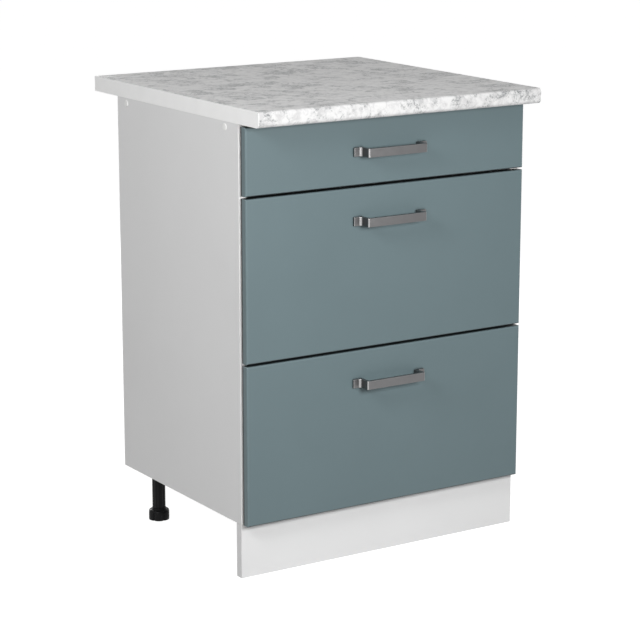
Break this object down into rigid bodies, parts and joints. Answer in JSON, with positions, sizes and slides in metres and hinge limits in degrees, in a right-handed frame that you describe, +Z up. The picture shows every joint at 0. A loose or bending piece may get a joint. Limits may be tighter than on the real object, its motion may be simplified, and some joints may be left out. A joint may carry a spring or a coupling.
{
  "type": "kitchen base cabinet with drawers",
  "caption": "Kitchen base cabinet with a worktop, a shallow drawer above deeper ones on roller runners, bar handles, a clip-on plinth and height-adjustable legs",
  "frame": {"origin": "on the floor, below the middle of the worktop", "axes": "+X to the right when facing the drawers, +Y to the back, +Z up; the drawers open along -Y"},
  "size_m": [0.603, 0.6, 0.844],
  "materials": {
    "white_melamine": "smooth white melamine faced chipboard",
    "blue_grey_front": "satin blue-grey foil on a board",
    "chipboard": "raw chipboard",
    "hardboard": "thin hardboard, painted white inside",
    "stone_laminate": "pale mottled stone-look laminate",
    "end_band": "pale edge band",
    "satin_metal": "satin grey metal",
    "runner_steel": "white coated sheet steel",
    "roller_nylon": "white nylon",
    "zinc_steel": "zinc plated steel",
    "white_plastic": "white moulded plastic",
    "black_plastic": "black moulded plastic"
  },
  "bodies": {
    "cabinet": {"side_panel_left": "white_melamine", "side_panel_right": "white_melamine", "bottom_panel": "white_melamine", "front_rail": "white_melamine", "rear_rail": "white_melamine", "plinth_board": "white_melamine", "back_panel": "hardboard", "worktop_core": "chipboard", "worktop_laminate": "stone_laminate", "worktop_end_bands": "end_band", "plinth_clips": "black_plastic", "leg_housings": "black_plastic", "carcass_screws": "zinc_steel", "screw_caps": "white_plastic", "carcass_cams": "zinc_steel", "back_nails": "zinc_steel", "chipboard_screws": "zinc_steel", "upper_cabinet_runners": "runner_steel", "middle_cabinet_runners": "runner_steel", "lower_cabinet_runners": "runner_steel"},
    "upper_drawer": {"upper_front": "blue_grey_front", "upper_handle": "satin_metal", "upper_handle_screws": "zinc_steel", "upper_box_left": "white_melamine", "upper_box_right": "white_melamine", "upper_box_front": "white_melamine", "upper_box_back": "white_melamine", "upper_box_base": "hardboard", "upper_box_screws": "zinc_steel", "upper_drawer_rails": "runner_steel"},
    "upper_cabinet_rollers": {"upper_cabinet_rollers": "roller_nylon"},
    "upper_drawer_rollers": {"upper_drawer_rollers": "roller_nylon"},
    "middle_drawer": {"middle_front": "blue_grey_front", "middle_handle": "satin_metal", "middle_handle_screws": "zinc_steel", "middle_box_left": "white_melamine", "middle_box_right": "white_melamine", "middle_box_front": "white_melamine", "middle_box_back": "white_melamine", "middle_box_base": "hardboard", "middle_box_screws": "zinc_steel", "middle_drawer_rails": "runner_steel"},
    "middle_cabinet_rollers": {"middle_cabinet_rollers": "roller_nylon"},
    "middle_drawer_rollers": {"middle_drawer_rollers": "roller_nylon"},
    "lower_drawer": {"lower_front": "blue_grey_front", "lower_handle": "satin_metal", "lower_handle_screws": "zinc_steel", "lower_box_left": "white_melamine", "lower_box_right": "white_melamine", "lower_box_front": "white_melamine", "lower_box_back": "white_melamine", "lower_box_base": "hardboard", "lower_box_screws": "zinc_steel", "lower_drawer_rails": "runner_steel"},
    "lower_cabinet_rollers": {"lower_cabinet_rollers": "roller_nylon"},
    "lower_drawer_rollers": {"lower_drawer_rollers": "roller_nylon"},
    "foot_front_left": {"foot_front_left": "black_plastic"},
    "foot_front_right": {"foot_front_right": "black_plastic"},
    "foot_rear_left": {"foot_rear_left": "black_plastic"},
    "foot_rear_right": {"foot_rear_right": "black_plastic"}
  },
  "joints": [
    {"name": "upper_drawer_slide", "type": "slide", "parent": "cabinet", "child": "upper_drawer", "axis": [0, -1, 0], "range_m": [0, 0.3]},
    {"name": "upper_cabinet_rollers_spin", "type": "hinge", "parent": "cabinet", "child": "upper_cabinet_rollers", "pos_m": [0, -0.216, 0.724], "axis": [1, 0, 0], "continuous": true},
    {"name": "upper_drawer_rollers_spin", "type": "hinge", "parent": "upper_drawer", "child": "upper_drawer_rollers", "pos_m": [0, 0.153, 0.71], "axis": [1, 0, 0], "continuous": true},
    {"name": "middle_drawer_slide", "type": "slide", "parent": "cabinet", "child": "middle_drawer", "axis": [0, -1, 0], "range_m": [0, 0.3]},
    {"name": "middle_cabinet_rollers_spin", "type": "hinge", "parent": "cabinet", "child": "middle_cabinet_rollers", "pos_m": [0, -0.216, 0.428], "axis": [1, 0, 0], "continuous": true},
    {"name": "middle_drawer_rollers_spin", "type": "hinge", "parent": "middle_drawer", "child": "middle_drawer_rollers", "pos_m": [0, 0.153, 0.414], "axis": [1, 0, 0], "continuous": true},
    {"name": "lower_drawer_slide", "type": "slide", "parent": "cabinet", "child": "lower_drawer", "axis": [0, -1, 0], "range_m": [0, 0.3]},
    {"name": "lower_cabinet_rollers_spin", "type": "hinge", "parent": "cabinet", "child": "lower_cabinet_rollers", "pos_m": [0, -0.216, 0.146], "axis": [1, 0, 0], "continuous": true},
    {"name": "lower_drawer_rollers_spin", "type": "hinge", "parent": "lower_drawer", "child": "lower_drawer_rollers", "pos_m": [0, 0.153, 0.132], "axis": [1, 0, 0], "continuous": true},
    {"name": "foot_front_left_adjust", "type": "slide", "parent": "cabinet", "child": "foot_front_left", "axis": [0, 0, -1], "range_m": [0, 0.02]},
    {"name": "foot_front_right_adjust", "type": "slide", "parent": "cabinet", "child": "foot_front_right", "axis": [0, 0, -1], "range_m": [0, 0.02]},
    {"name": "foot_rear_left_adjust", "type": "slide", "parent": "cabinet", "child": "foot_rear_left", "axis": [0, 0, -1], "range_m": [0, 0.02]},
    {"name": "foot_rear_right_adjust", "type": "slide", "parent": "cabinet", "child": "foot_rear_right", "axis": [0, 0, -1], "range_m": [0, 0.02]}
  ],
  "couplings": [
    {"joint": "upper_cabinet_rollers_spin", "follows": "upper_drawer_slide", "rad_per_m": 117.65},
    {"joint": "upper_drawer_rollers_spin", "follows": "upper_drawer_slide", "rad_per_m": 117.65},
    {"joint": "middle_cabinet_rollers_spin", "follows": "middle_drawer_slide", "rad_per_m": 117.65},
    {"joint": "middle_drawer_rollers_spin", "follows": "middle_drawer_slide", "rad_per_m": 117.65},
    {"joint": "lower_cabinet_rollers_spin", "follows": "lower_drawer_slide", "rad_per_m": 117.65},
    {"joint": "lower_drawer_rollers_spin", "follows": "lower_drawer_slide", "rad_per_m": 117.65}
  ]
}
